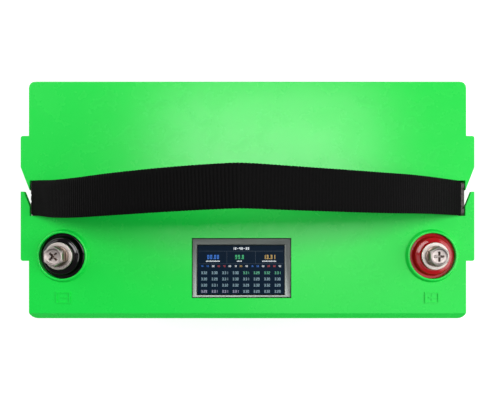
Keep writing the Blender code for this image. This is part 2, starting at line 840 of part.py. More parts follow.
def make_cells():
    pad_z = (CELL_TOP - 0.001, CELL_TOP + CELL_PAD.z)
    for number in range(CELL_COUNT):
        x = cell_x(number)
        cell = centred_box((x, 0.0, CELL_BOTTOM + CELL.z / 2), CELL, 0.0025)
        for y in (-CELL_PAD_Y, CELL_PAD_Y):
            join(
                cell,
                box(
                    (x - CELL_PAD.x / 2, y - CELL_PAD.y / 2, pad_z[0]),
                    (x + CELL_PAD.x / 2, y + CELL_PAD.y / 2, pad_z[1]),
                ),
            )
        as_part(cell, f"cell_{number + 1}", CELL_BLUE)


def make_busbars():
    """Three bars join the cells in series, and two short ones carry the pack's output."""
    z = CELL_TOP + CELL_PAD.z + GAP + BUSBAR.z / 2
    for number in range(CELL_COUNT - 1):
        x = (cell_x(number) + cell_x(number + 1)) / 2
        y = CELL_PAD_Y if number % 2 == 0 else -CELL_PAD_Y
        bar = centred_box((x, y, z), BUSBAR)
        as_part(bar, f"busbar_{number + 1}", COPPER)
    for name, number in (("negative", 0), ("positive", CELL_COUNT - 1)):
        bar = centred_box((cell_x(number), -CELL_PAD_Y, z), OUTPUT_BAR)
        as_part(bar, f"{name}_output_bar", COPPER)


def make_cell_block():
    """What holds the cells: separators, end plates, two bands and the foam around them."""
    block_half = CELL_COUNT * CELL_PITCH / 2
    for number in range(CELL_COUNT - 1):
        x = (cell_x(number) + cell_x(number + 1)) / 2
        sheet = centred_box((x, 0.0, CELL_BOTTOM + CELL.z / 2), (0.0004, CELL.y, CELL.z))
        as_part(sheet, f"cell_separator_{number + 1}", GREY_SHEET)
    inner = block_half - CELL_PITCH / 2 + CELL.x / 2 + GAP
    for side, name in ((-1, "left"), (1, "right")):
        ends = sorted((side * inner, side * (inner + END_PLATE)))
        board = box(
            (ends[0], -CELL.y / 2, CELL_BOTTOM), (ends[1], CELL.y / 2, DECK_BOTTOM - GAP)
        )
        as_part(board, f"end_plate_{name}", GLASS_BOARD)
        foam_in = inner + END_PLATE + BAND_THICKNESS + 2 * GAP
        foam_out = TUB_LENGTH / 2 - TUB_WALL - GAP
        ends = sorted((side * foam_in, side * foam_out))
        foam = box(
            (ends[0], -CELL.y / 2, TUB_FLOOR + GAP), (ends[1], CELL.y / 2, END_FOAM_TOP), 0.002
        )
        as_part(foam, f"end_foam_{name}", FOAM)
    for number, z in enumerate(BAND_HEIGHTS, 1):
        half_x = inner + END_PLATE + GAP
        half_y = CELL.y / 2 + GAP
        band = slab(
            half_x + BAND_THICKNESS, half_y + BAND_THICKNESS, 0.0012,
            z - BAND_HEIGHT / 2, z + BAND_HEIGHT / 2,
        )
        cut(band, slab(half_x, half_y, 0.0006, z - BAND_HEIGHT, z + BAND_HEIGHT))
        as_part(band, f"cell_band_{number}", STEEL)
    pad = box(
        (-block_half, -CELL.y / 2, TUB_FLOOR + GAP), (block_half, CELL.y / 2, CELL_BOTTOM - GAP)
    )
    as_part(pad, "bottom_pad", FOAM)
    deck = box(
        (-DECK.x / 2 - END_PLATE, -DECK.y / 2, DECK_BOTTOM),
        (DECK.x / 2 + END_PLATE, DECK.y / 2, DECK_BOTTOM + DECK.z),
    )
    for side in (-1, 1):
        inner, outer = sorted((side * LEAD_WAY[0], side * LEAD_WAY[1]))
        lead_way = box(
            (inner, -DECK.y, DECK_BOTTOM - PAST), (outer, LEAD_WAY_REAR, DECK_BOTTOM + PAST)
        )
        cut(deck, lead_way)
    as_part(deck, "insulating_deck", GLASS_BOARD)


# ---------------------------------------------------------------- battery management


def make_bms():
    base_bottom = DECK_BOTTOM + DECK.z + GAP
    base_top = base_bottom + BMS_BASE.z
    base = centred_box((0.0, 0.0, base_bottom + BMS_BASE.z / 2), BMS_BASE, 0.0008)
    for number in range(FIN_SLOTS):
        x = (number - (FIN_SLOTS - 1) / 2) * FIN_PITCH
        cut(base, centred_box((x, 0.0, base_bottom), (FIN_PITCH / 2, BMS_BASE.y + PAST, 0.006)))
    board_bottom = base_top + GAP
    board_top = board_bottom + BMS_BOARD.z
    board = centred_box((0.0, 0.0, board_bottom + BMS_BOARD.z / 2), BMS_BOARD)
    cover_bottom = board_top + GAP
    cover = centred_box((0.0, 0.006, cover_bottom + BMS_COVER.z / 2), BMS_COVER, 0.0012)
    spread_x, spread_y = BMS_SCREW_SPREAD
    corners = [(sx * spread_x, sy * spread_y) for sx in (-1, 1) for sy in (-1, 1)]
    for number, (x, y) in enumerate(corners, 1):
        cut(board, cylinder(x, y, board_bottom - PAST, board_top + PAST, 0.0018, 12))
        cut(base, cylinder(x, y, base_bottom - PAST, base_top + PAST, 0.0018, 12))
        screw = cylinder(x, y, board_top + GAP, board_top + 0.0022, 0.0030, 16)
        join(screw, cylinder(x, y, base_bottom + 0.001, board_top + 0.001, 0.0013, 12))
        as_part(screw, f"bms_screw_{number}", STEEL)
    as_part(base, "bms_heat_sink", ALUMINIUM)
    as_part(board, "bms_board", BOARD_GREEN)
    as_part(cover, "bms_cover", ALUMINIUM)
    return board_top


# ---------------------------------------------------------------- leads


def make_leads(board_top):
    lug_z = BOSS_BOTTOM - GAP - 0.0013 - GAP
    lug_end = (0.1068, TERMINAL_Y, lug_z - 0.0052)
    bar_z = CELL_TOP + CELL_PAD.z + GAP + BUSBAR.z + GAP
    rise = LEAD_RADIUS + 2 * GAP
    tube(
        "negative_lead",
        (
            (-0.060, -0.026, board_top + rise),
            (-0.078, -0.028, board_top + rise + 0.002),
            (-0.098, -0.032, board_top + 0.012),
            (-0.106, -0.038, board_top + 0.030),
            (-0.104, TERMINAL_Y, lug_z - 0.010),
            (-lug_end[0], *lug_end[1:]),
        ),
        LEAD_RADIUS, RED_OR_BLACK["negative"],
    )
    tube(
        "positive_lead",
        (
            (0.075, -0.050, bar_z + rise),
            (0.090, -0.052, bar_z + rise + 0.001),
            (0.106, -0.052, bar_z + rise + 0.012),
            (0.110, -0.048, bar_z + 0.040),
            (0.104, TERMINAL_Y, lug_z - 0.012),
            lug_end,
        ),
        LEAD_RADIUS, RED_OR_BLACK["positive"],
    )
    tube(
        "cell_negative_lead",
        (
            (-0.070, -0.050, bar_z + rise),
            (-0.080, -0.0560, bar_z + rise + 0.001),
            (-0.080, -0.0620, bar_z + 0.012),
            (-0.062, -0.0600, board_top + rise + 0.004),
            (-0.044, -0.0480, board_top + rise + 0.006),
            (-0.042, -0.0300, board_top + rise),
        ),
        LEAD_RADIUS, RED_OR_BLACK["negative"],
    )
    tube(
        "sense_harness",
        (
            (0.030, 0.032, board_top + 0.0030),
            (0.034, 0.050, board_top + 0.0034),
            (0.036, 0.070, board_top - 0.004),
            (0.034, 0.0795, board_top - 0.018),
            (0.020, 0.0785, CELL_TOP + 0.0045),
            (0.000, 0.0760, CELL_TOP + 0.0026),
        ),
        HARNESS_RADIUS, GREY_PLASTIC,
    )
    centres = curve_through(
        (
            (-0.005, -0.034, BOARD_TOP - BOARD_SIZE.z - GAP - 0.0006),
            (-0.005, -0.026, BOARD_TOP - BOARD_SIZE.z - 0.004),
            (-0.005, -0.022, BOARD_TOP - 0.020),
            (-0.005, -0.0235, board_top + 0.022),
            (-0.005, -0.0265, board_top + 0.0030),
        ),
        4,
    )
    ribbon("display_cable", centres, Vector((0.006, 0.0, 0.0)), 0.0008, GREY_PLASTIC)


# ---------------------------------------------------------------- build

clear_scene()
PARTS = new_collection("deep_cycle_battery")
CUTTERS = new_collection("cutters")
GREEN = material("green_abs", (0.035, 0.70, 0.085), 0.36)
BLACK_NYLON = material("black_nylon", (0.012, 0.012, 0.013), 0.85)
GREY_PLASTIC = material("grey_plastic", (0.09, 0.08, 0.075), 0.5)
BLACK_RESIN = material("black_resin", (0.008, 0.008, 0.009), 0.12)
RED_RESIN = material("red_resin", (0.42, 0.006, 0.010), 0.12)
RUBBER = material("black_rubber", (0.02, 0.02, 0.02), 0.8)
STEEL = material("stainless_steel", (0.62, 0.60, 0.58), 0.25, 1.0)
TIN = material("tinned_brass", (0.70, 0.68, 0.62), 0.3, 1.0)
BRASS = material("brass", (0.72, 0.55, 0.26), 0.35, 1.0)
COPPER = material("nickel_plated_copper", (0.72, 0.62, 0.52), 0.3, 1.0)
ALUMINIUM = material("aluminium", (0.72, 0.73, 0.75), 0.4, 1.0)
SCREEN = material("screen_glass", (0.01, 0.03, 0.06), 0.08)
BOARD_GREEN = material("circuit_board", (0.01, 0.12, 0.05), 0.5)
CELL_BLUE = material("cell_wrap", (0.02, 0.09, 0.35), 0.35)
GREY_SHEET = material("grey_sheet", (0.35, 0.35, 0.36), 0.6)
GLASS_BOARD = material("glass_board", (0.55, 0.60, 0.35), 0.6)
FOAM = material("foam", (0.05, 0.05, 0.055), 0.95)
RED_OR_BLACK = {
    "negative": material("black_lead", (0.015, 0.015, 0.015), 0.5),
    "positive": material("red_lead", (0.45, 0.02, 0.02), 0.5),
}

make_tub()
make_lid()
make_seal()
make_strap()
make_strap_end(-1, "strap_end_left")
make_strap_end(1, "strap_end_right")
make_terminal(-1, "negative", BLACK_RESIN)
make_terminal(1, "positive", RED_RESIN)
make_screw(-1, "negative")
make_screw(1, "positive")
make_display()
make_cells()
make_busbars()
make_cell_block()
make_leads(make_bms())
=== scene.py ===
"""Looks of the deep cycle battery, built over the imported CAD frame."""

import math
import random

import bmesh
import bpy
from mathutils import Matrix, Vector


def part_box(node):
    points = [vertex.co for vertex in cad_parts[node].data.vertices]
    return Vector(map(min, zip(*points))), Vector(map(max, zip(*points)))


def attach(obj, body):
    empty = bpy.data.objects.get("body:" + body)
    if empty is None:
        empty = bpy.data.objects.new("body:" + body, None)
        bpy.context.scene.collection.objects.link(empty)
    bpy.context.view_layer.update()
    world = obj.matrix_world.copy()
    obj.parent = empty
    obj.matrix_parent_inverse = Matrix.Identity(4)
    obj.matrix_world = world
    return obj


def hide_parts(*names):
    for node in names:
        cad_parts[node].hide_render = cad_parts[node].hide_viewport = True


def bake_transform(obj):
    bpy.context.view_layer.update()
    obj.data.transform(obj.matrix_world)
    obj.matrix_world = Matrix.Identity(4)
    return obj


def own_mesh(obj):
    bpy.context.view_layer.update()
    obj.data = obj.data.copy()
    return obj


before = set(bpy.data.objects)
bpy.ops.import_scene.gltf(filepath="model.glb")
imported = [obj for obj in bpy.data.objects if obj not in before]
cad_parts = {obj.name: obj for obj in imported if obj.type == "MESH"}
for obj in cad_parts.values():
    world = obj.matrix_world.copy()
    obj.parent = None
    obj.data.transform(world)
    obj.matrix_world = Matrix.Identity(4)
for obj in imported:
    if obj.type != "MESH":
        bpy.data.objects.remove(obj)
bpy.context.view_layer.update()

# ---------------------------------------------------------------- where things are

COLLAR_HEIGHT = 0.0024
LID_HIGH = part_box("lid")[1]
LID_TOP = LID_HIGH.z - COLLAR_HEIGHT  # the flat top, below the collars' rims

STRAP_THICKNESS = 0.0022
STRAP_WIDTH = 0.0252
RIB_PITCH = 0.0021
SLOT_Y = 0.0014
STRAP_LEG_X = 0.1543  # where the webbing goes down its slot, against the slot's inner side
NECK_X = 0.15575  # the middle of the end bar's neck in the slot
SIDES = {"left": -1, "right": 1}

# The strap's centreline from the left slot to the right one: x, height over the lid, y.
STRAP_ROUTE = (
    (-0.1543, -0.0020, 0.0014),
    (-0.1547, -0.0005, 0.0014),
    (-0.1553, 0.0014, 0.0014),
    (-0.1515, 0.0046, 0.0011),
    (-0.1410, 0.0142, 0.0000),
    (-0.1280, 0.0262, -0.0015),
    (-0.1060, 0.0433, -0.0024),
    (-0.0760, 0.0603, -0.0019),
    (-0.0400, 0.0728, -0.0006),
    (-0.0080, 0.0786, 0.0006),
    (0.0060, 0.0778, 0.0008),
    (0.0300, 0.0706, 0.0004),
    (0.0620, 0.0592, 0.0001),
    (0.0900, 0.0465, 0.0002),
    (0.1080, 0.0356, 0.0007),
    (0.1270, 0.0212, 0.0012),
    (0.1450, 0.0070, 0.0014),
    (0.1505, 0.0032, 0.0014),
    (0.1532, 0.0014, 0.0014),
    (0.1542, -0.0002, 0.0014),
    (0.1543, -0.0020, 0.0014),
)


def middle_of(node):
    """The upright line through the middle of a node, as a point at height 0."""
    low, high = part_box(node)
    return Vector(((low.x + high.x) / 2, (low.y + high.y) / 2, 0.0))


TERMINALS = {name: middle_of(f"{name}_post") for name in ("negative", "positive")}

# ---------------------------------------------------------------- material helpers

EVEN = (1.0, 1.0, 1.0)  # a texture that isn't stretched
NOISE_LOW, NOISE_HIGH = 0.3, 0.7  # the values that most of a noise lies between


class Look:
    """A node material in the making: a Principled shader and what feeds it."""

    def __init__(self, name, colour, roughness, metallic=0.0, **sockets):
        self.material = bpy.data.materials.new(name)
        self.material.use_nodes = True
        self.tree = self.material.node_tree
        self.shader = self.tree.nodes["Principled BSDF"]
        self.shader.inputs["Base Color"].default_value = (*colour, 1.0)
        self.shader.inputs["Roughness"].default_value = roughness
        self.shader.inputs["Metallic"].default_value = metallic
        for socket, value in sockets.items():
            self.shader.inputs[socket.replace("_", " ")].default_value = value

    def link(self, source, target):
        self.tree.links.new(source, target)

    def place(self, stretch=EVEN, uv=False):
        """Coordinates for a texture, fixed to the piece."""
        coordinates = self.tree.nodes.new("ShaderNodeTexCoord")
        mapping = self.tree.nodes.new("ShaderNodeMapping")
        mapping.inputs["Scale"].default_value = stretch
        self.link(coordinates.outputs["UV" if uv else "Object"], mapping.inputs["Vector"])
        return mapping.outputs["Vector"]

    def noise(self, scale, detail=2.0, rough=0.5, stretch=EVEN, uv=False):
        made = self.tree.nodes.new("ShaderNodeTexNoise")
        made.inputs["Scale"].default_value = scale
        made.inputs["Detail"].default_value = detail
        made.inputs["Roughness"].default_value = rough
        self.link(self.place(stretch, uv), made.inputs["Vector"])
        return made.outputs["Fac"]

    def ramp(self, factor, low, high, start=NOISE_LOW, stop=NOISE_HIGH):
        """Colours between two values of a texture."""
        made = self.tree.nodes.new("ShaderNodeValToRGB")
        first, last = made.color_ramp.elements[0], made.color_ramp.elements[1]
        first.position, last.position = start, stop
        first.color, last.color = (*low, 1.0), (*high, 1.0)
        self.link(factor, made.inputs["Fac"])
        return made.outputs["Color"]

    def paint(self, factor, low, high, start=NOISE_LOW, stop=NOISE_HIGH):
        """The base colour, between two colours."""
        self.link(self.ramp(factor, low, high, start, stop), self.shader.inputs["Base Color"])

    def dull(self, factor, low, high):
        """The roughness, between two values."""
        made = self.tree.nodes.new("ShaderNodeMapRange")
        made.inputs["From Min"].default_value = NOISE_LOW
        made.inputs["From Max"].default_value = NOISE_HIGH
        made.inputs["To Min"].default_value = low
        made.inputs["To Max"].default_value = high
        self.link(factor, made.inputs["Value"])
        self.link(made.outputs["Result"], self.shader.inputs["Roughness"])

    def bump(self, height, strength, distance):
        made = self.tree.nodes.new("ShaderNodeBump")
        made.inputs["Strength"].default_value = strength
        made.inputs["Distance"].default_value = distance
        self.link(height, made.inputs["Height"])
        self.link(made.outputs["Normal"], self.shader.inputs["Normal"])


def shade(colour, factor):
    return tuple(min(channel * factor, 1.0) for channel in colour)


def moulded(name, colour, roughness, depth=0.00006, **sockets):
    """Moulded plastic: a fine spark-eroded grain, faint mottling and uneven gloss."""
    look = Look(name, colour, roughness, **sockets)
    look.paint(look.noise(26.0, 3.0), shade(colour, 0.985), shade(colour, 1.015))
    look.dull(look.noise(60.0, 4.0, 0.6), roughness - 0.02, roughness + 0.02)
    look.bump(look.noise(2600.0, 2.0, 0.6), 0.06, depth)
    return look


def metal(name, colour, roughness, stretch=EVEN, depth=0.00003):
    """Bare or plated metal with fine scratches and faint blotches of tarnish."""
    look = Look(name, colour, roughness, 1.0)
    look.paint(look.noise(170.0, 5.0, 0.65), shade(colour, 0.93), shade(colour, 1.03))
    look.dull(look.noise(900.0, 3.0, 0.7, stretch), roughness - 0.03, roughness + 0.04)
    look.bump(look.noise(2400.0, 2.0, 0.6, stretch), 0.07, depth)
    return look


def porous(name, colour, roughness, scale=900.0, depth=0.0002):
    """Foam, rubber or cable jacket: dull, with pores."""
    look = Look(name, colour, roughness)
    look.paint(look.noise(scale, 3.0, 0.7), shade(colour, 0.6), shade(colour, 1.5))
    look.bump(look.noise(scale, 2.0, 0.6), 0.35, depth)
    return look


# ---------------------------------------------------------------- the looks

GREEN = moulded("green_abs", (0.0060, 0.720, 0.062), 0.27, IOR=1.50)
BLACK_RESIN = moulded("black_resin", (0.0022, 0.0014, 0.0024), 0.08, depth=0.000002)
RED_RESIN = moulded("red_resin", (0.420, 0.0040, 0.0090), 0.08, depth=0.000002)
GREY_PLASTIC = moulded("grey_plastic", (0.060, 0.047, 0.043), 0.48)
STEEL = metal("nickel_plate", (0.60, 0.545, 0.51), 0.44)
HEAD_STEEL = metal("screw_plate", (0.50, 0.440, 0.420), 0.47)
# Dark spring steel, which also serves as painted shade on the screw heads' flanks and thread.
SPRING_STEEL_AND_FLANK_SHADE = metal("spring_steel_and_flank_shade", (0.27, 0.20, 0.17), 0.30)
BRUSHED = metal("brushed_steel", (0.145, 0.160, 0.150), 0.30, (1.0, 14.0, 1.0), 0.00005)
TIN = metal("tinned_brass", (0.72, 0.69, 0.63), 0.34)
BRASS = metal("brass", (0.70, 0.50, 0.22), 0.34)
COPPER = metal("nickel_plated_copper", (0.72, 0.63, 0.54), 0.30)
ALUMINIUM = metal("aluminium", (0.70, 0.71, 0.73), 0.40, (1.0, 10.0, 1.0))
RUBBER = porous("black_rubber", (0.016, 0.016, 0.016), 0.75)
FOAM = porous("foam", (0.040, 0.040, 0.043), 0.95, 500.0, 0.0005)
BLACK_LEAD = porous("black_jacket", (0.014, 0.014, 0.014), 0.55, 1500.0, 0.00004)
RED_LEAD = porous("red_jacket", (0.35, 0.012, 0.012), 0.50, 1500.0, 0.00004)
BOARD = moulded("circuit_board", (0.010, 0.110, 0.045), 0.35)
CELL_WRAP = moulded("cell_wrap", (0.018, 0.085, 0.330), 0.30)
GREY_SHEET = moulded("grey_sheet", (0.33, 0.33, 0.34), 0.60)
GLASS_BOARD = moulded("glass_board", (0.47, 0.52, 0.22), 0.55)


def make_webbing_look():
    """Black nylon: uneven yarns that run along each rib, with a faint sheen."""
    look = Look("black_nylon", (0.008, 0.008, 0.008), 0.62, Specular_IOR_Level=0.045)
    yarns = look.noise(1.0, 2.0, 0.6, (2300.0, 900.0, 1.0), uv=True)
    look.paint(yarns, (0.0012, 0.0012, 0.0013), (0.0042, 0.0040, 0.0040), 0.25, 0.75)
    look.bump(yarns, 0.5, 0.00018)
    return look


def make_screen_look():
    """The display's dark window: deep blue, with its grid of pixels just showing."""
    look = Look("screen_window", (0.002, 0.008, 0.016), 0.35, Specular_IOR_Level=0.05)
    pixel_size, gap = 0.0002, 0.00002
    pixels = look.tree.nodes.new("ShaderNodeTexBrick")
    pixels.offset = 0.0
    pixels.inputs["Scale"].default_value = 1.0
    pixels.inputs["Brick Width"].default_value = pixel_size
    pixels.inputs["Row Height"].default_value = pixel_size
    pixels.inputs["Mortar Size"].default_value = gap
    pixels.inputs["Color1"].default_value = (0.0016, 0.0110, 0.0270, 1.0)
    pixels.inputs["Color2"].default_value = (0.0014, 0.0095, 0.0240, 1.0)
    pixels.inputs["Mortar"].default_value = (0.0008, 0.0045, 0.0110, 1.0)
    look.link(look.place(), pixels.inputs["Vector"])
    look.link(pixels.outputs["Color"], look.shader.inputs["Base Color"])
    look.link(pixels.outputs["Color"], look.shader.inputs["Emission Color"])
    look.shader.inputs["Emission Strength"].default_value = 0.25
    return look


def make_lit_look(name, colour):
    """A lit part of the display: its brightness varies a little from pixel to pixel."""
    look = Look(name, shade(colour, 0.25), 0.3)
    lit = look.ramp(look.noise(2600.0, 1.0), shade(colour, 0.8), shade(colour, 1.15))
    look.link(lit, look.shader.inputs["Emission Color"])
    look.shader.inputs["Emission Strength"].default_value = 0.9
    return look


WEBBING = make_webbing_look()
SCREEN = make_screen_look()

NODE_LOOKS = {
    "case_tub": GREEN,
    "lid": GREEN,
    "lid_seal": RUBBER,
    "display_bezel": BRUSHED,
    "display_panel": SCREEN,
    "display_board": BOARD,
    "display_cable": GREY_PLASTIC,
    "insulating_deck": GLASS_BOARD,
    "bottom_pad": FOAM,
    "bms_heat_sink": ALUMINIUM,
    "bms_board": BOARD,
    "bms_cover": ALUMINIUM,
    "negative_lead": BLACK_LEAD,
    "cell_negative_lead": BLACK_LEAD,
    "positive_lead": RED_LEAD,
    "sense_harness": GREY_PLASTIC,
    "negative_terminal_insert": BLACK_RESIN,
    "positive_terminal_insert": RED_RESIN,
    "strap_webbing": WEBBING,
}
LOOKS_BY_WORD = (  # the first word that is in a node's name gives its look
    ("separator", GREY_SHEET),
    ("band", SPRING_STEEL_AND_FLANK_SHADE),
    ("busbar", COPPER),
    ("output_bar", COPPER),
    ("end_plate", GLASS_BOARD),
    ("end_foam", FOAM),
    ("post_nut", BRASS),
    ("post", TIN),
    ("lug", TIN),
    ("o_ring", RUBBER),
    ("spring_washer", SPRING_STEEL_AND_FLANK_SHADE),
    ("washer", STEEL),
    ("screw", STEEL),
    ("strap_end", GREY_PLASTIC),
    ("cell", CELL_WRAP),
)


def look_of(node):
    if node in NODE_LOOKS:
        return NODE_LOOKS[node]
    return next(look for word, look in LOOKS_BY_WORD if word in node)


# ---------------------------------------------------------------- mesh helpers

ORIGIN = Vector((0.0, 0.0, 0.0))
TURN_STEPS = 96  # how many points go round a turned shape


def set_look(obj, look):
    obj.data.materials.clear()
    obj.data.materials.append(look.material)


def object_from(name, bm):
    """An object in the scene, made of what bm holds."""
    mesh = bpy.data.meshes.new(name)
    bm.to_mesh(mesh)
    bm.free()
    obj = bpy.data.objects.new(name, mesh)
    bpy.context.scene.collection.objects.link(obj)
    return obj


def solid_from(name, bm):
    """The same for a closed shape, whose faces are turned outwards first."""
    bmesh.ops.recalc_face_normals(bm, faces=bm.faces)
    return object_from(name, bm)


def piece(name, bm, look, body):
    """A visible piece. One that blends between two bodies has no body here."""
    obj = solid_from(name, bm)
    set_look(obj, look)
    if body:
        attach(obj, body)
    return obj


def smooth(obj, degrees):
    """Smooth shading, apart from edges that turn more than this."""
    for face in obj.data.polygons:
        face.use_smooth = True
    obj.data.set_sharp_from_angle(angle=math.radians(degrees))
    return obj


def soften(obj):
    """Rounds a CAD node's sharp edges, after its flat faces are joined up."""
    flat = obj.modifiers.new("flat_faces", "DECIMATE")
    flat.decimate_type = "DISSOLVE"
    flat.angle_limit = math.radians(0.05)
    rounding = obj.modifiers.new("rounded_edges", "BEVEL")
    rounding.width = 0.0007
    rounding.segments = 2
    rounding.limit_method = "ANGLE"
    rounding.angle_limit = math.radians(32.0)
    rounding.harden_normals = True


def add_box(bm, low, high):
    low, high = Vector(low), Vector(high)
    size, middle = high - low, (low + high) / 2
    for vertex in bmesh.ops.create_cube(bm, size=1.0)["verts"]:
        vertex.co = Vector([a * b for a, b in zip(vertex.co, size)]) + middle


def ring(bm, centre, points):
    """A closed ring round an upright line, through one point for each (radius, z)."""
    made = []
    for k, (radius, z) in enumerate(points):
        angle = 2 * math.pi * k / len(points)
        x, y = centre.x + radius * math.cos(angle), centre.y + radius * math.sin(angle)
        made.append(bm.verts.new((x, y, z)))
    return made


def bridge(bm, rings):
    """Faces from each ring to the next. A ring of one point closes the shape there."""
    for first, second in zip(rings, rings[1:]):
        count = max(len(first), len(second))
        for k in range(count):
            following = (k + 1) % count
            corners = (
                first[k % len(first)],
                second[k % len(second)],
                second[following % len(second)],
                first[following % len(first)],
            )
            bm.faces.new(tuple(dict.fromkeys(corners)))


def lathe(bm, outline, centre):
    """Turns a closed outline of (radius, z) about an upright line."""
    rings = [ring(bm, centre, [point] * TURN_STEPS) for point in outline]
    bridge(bm, [*rings, rings[0]])


def rounded_profile(corners, radius, steps=4):
    """A closed profile with each corner rounded, from its corner points in order."""
    found = []
    count = len(corners)
    for k, corner in enumerate(corners):
        here = Vector(corner)
        before, after = Vector(corners[k - 1]), Vector(corners[(k + 1) % count])
        reach = min(radius, 0.45 * (before - here).length, 0.45 * (after - here).length)
        start = here + (before - here).normalized() * reach
        stop = here + (after - here).normalized() * reach
        for step in range(steps + 1):
            t = step / steps
            found.append(tuple((1 - t) ** 2 * start + 2 * t * (1 - t) * here + t**2 * stop))
    return found


def curve_through(points, steps):
    """Points along a smooth curve through the given ones, steps to a stretch."""
    knots = [Vector(p) for p in points]
    ends = [2 * knots[0] - knots[1], *knots, 2 * knots[-1] - knots[-2]]
    found = []
    for before, start, stop, after in zip(ends, ends[1:], ends[2:], ends[3:]):
        for step in range(steps):
            t = step / steps
            found.append(
                0.5
                * (
                    2 * start
                    + (stop - before) * t
                    + (2 * before - 5 * start + 4 * stop - after) * t**2
                    + (3 * start - before - 3 * stop + after) * t**3
                )
            )
    return [*found, knots[-1]]


# ---------------------------------------------------------------- carry strap

ACROSS_STEPS = 16  # how many points go across the webbing
VALLEY_DEPTH = 0.34  # how much thinner it is between two ribs, as a share
VALLEY_WAIST = 0.015  # how much narrower it is there, as a share
SELVEDGE = 0.3873  # the thickness of its woven edges, as a share of its own
LEG_TOP = 0.0008  # how far below the lid's top each leg of the webbing starts
LEG_BOTTOM = 0.0052  # how far below it the leg ends
LEG_STEPS = 8
ARCH_STEPS = 12  # how many steps the arch's line takes between two points of its route


def evenly(points, spacing):
    """The same path, stepped at one even spacing."""
    lengths = [0.0]
    for first, second in zip(points, points[1:]):
        lengths.append(lengths[-1] + (second - first).length)
    count = round(lengths[-1] / spacing)
    found, k = [], 0
    for step in range(count + 1):
        target = lengths[-1] * step / count
        while k < len(points) - 2 and lengths[k + 1] < target:
            k += 1
        t = (target - lengths[k]) / (lengths[k + 1] - lengths[k])
        found.append(points[k].lerp(points[k + 1], t))
    return found, lengths[-1]


def band_outline():
    """The webbing's cross-section, from -1 to 1 both ways: over its top and back below."""
    across = [2 * step / (ACROSS_STEPS - 1) - 1 for step in range(ACROSS_STEPS)]
    top = [(y, SELVEDGE if abs(y) == 1 else 1.0) for y in across]
    return top + [(y, -z) for y, z in reversed(top)]


def webbing(name, points, body, steps_per_rib=8):
    """Ribbed webbing: each rib crosses the band, which is thinner and narrower between ribs."""
    path, length = evenly(points, RIB_PITCH / steps_per_rib)
    outline = band_outline()
    bm = bmesh.new()
    uv = bm.loops.layers.uv.new("webbing")
    rings = []
    for k, centre in enumerate(path):
        tangent = (path[min(k + 1, len(path) - 1)] - path[max(k - 1, 0)]).normalized()
        side = Vector((0.0, 1.0, 0.0))
        side = (side - tangent * side.dot(tangent)).normalized()
        up = tangent.cross(side)
        sunk = 1 - abs(math.sin(math.pi * k / steps_per_rib))
        thick = STRAP_THICKNESS / 2 * (1 - VALLEY_DEPTH * sunk)
        wide = STRAP_WIDTH / 2 * (1 - VALLEY_WAIST * sunk)
        rings.append([bm.verts.new(centre + side * (wide * y) + up * (thick * z)) for y, z in outline])
    along_step, across_step = length / (len(rings) - 1), 2 * STRAP_WIDTH / len(outline)
    for k, (first, second) in enumerate(zip(rings, rings[1:])):
        for row in range(len(outline)):
            following = (row + 1) % len(outline)
            face = bm.faces.new((first[row], second[row], second[following], first[following]))
            corners = ((k, row), (k + 1, row), (k + 1, row + 1), (k, row + 1))
            for loop, (along, across) in zip(face.loops, corners):
                loop[uv].uv = (along * along_step, across * across_step)
    bm.faces.new(rings[0])
    bm.faces.new(reversed(rings[-1]))
    return smooth(piece(name, bm, WEBBING, body), 60.0)


def make_strap():
    """The arch over the lid, and the two legs that go down the slots to the end bars."""
    route = [(x, y, LID_TOP + height) for x, height, y in STRAP_ROUTE]
    arch = webbing("strap_arch", curve_through(route, ARCH_STEPS), "strap")
    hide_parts("strap_webbing")
    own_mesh(arch)
    for word, side in SIDES.items():
        x = side * STRAP_LEG_X
        top, bottom = LID_TOP - LEG_TOP, LID_TOP - LEG_BOTTOM
        heights = [top + (bottom - top) * k / LEG_STEPS for k in range(LEG_STEPS + 1)]
        leg = webbing(f"strap_leg_{word}", [Vector((x, SLOT_Y, z)) for z in heights], None, 4)
        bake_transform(leg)


# ---------------------------------------------------------------- terminals

HEAD_HEIGHT = 0.0056
HEAD_FLAT = 0.00645  # from the head's middle to one of its flats
HEAD_DISH = 0.0009  # how deep the head's top is dished
SHANK_RADIUS, THREAD_ROOT, THREAD_PITCH = 0.00385, 0.00335, 0.00125
THREAD_STEPS = 6  # how many rings go to one pitch
THREAD_START = 0.0004  # how far below the head the thread starts
SHADED_FLANK_LEVEL = 0.3  # a face of the screw whose normal is flatter than this is a flank, given darker steel as painted shade
CROSS_TURNS = {"negative": 45.0, "positive": 0.0}  # how far the cross recess is turned
WASHER_BORE = 0.0043
INSERT_BORE, INSERT_BOSS, INSERT_NECK = 0.0083, 0.0135, 0.0127
INSERT_RIM = 0.0028  # how thick the insert's floor is
INSERT_DROP = 0.0006  # how far its floor is below the lid's top


def hexagon_reach(k):
    """How far the hexagon's side is from the head's middle, at point k of the turn."""
    sixth = math.radians(60)
    fold = (2 * math.pi * k / TURN_STEPS - sixth / 2) % sixth - sixth / 2
    return HEAD_FLAT / math.cos(fold)


def head_rings(bm, top, under):
    """A dished top with a raised rim, then hexagon sides whose upper corners are cut back."""
    rim = ((0.0045, HEAD_DISH), (0.0050, 0.0007), (0.0055, 0.0001), (0.0058, 0.0), (0.0061, 0.0001))
    reaches = [hexagon_reach(k) for k in range(TURN_STEPS)]
    sides = (
        [(min(0.0064, reach - 0.00012), top - 0.0004) for reach in reaches],
        [(reach, top - 0.0004 - 0.80 * max(0.0, reach - 0.0062)) for reach in reaches],
        [(reach, under + 0.0003) for reach in reaches],
        [(min(0.0066, reach - 0.00012), under) for reach in reaches],
    )
    rings = [[bm.verts.new((0.0, 0.0, top - HEAD_DISH))]]
    rings += [ring(bm, ORIGIN, [(radius, top - drop)] * TURN_STEPS) for radius, drop in rim]
    return rings + [ring(bm, ORIGIN, points) for points in sides]


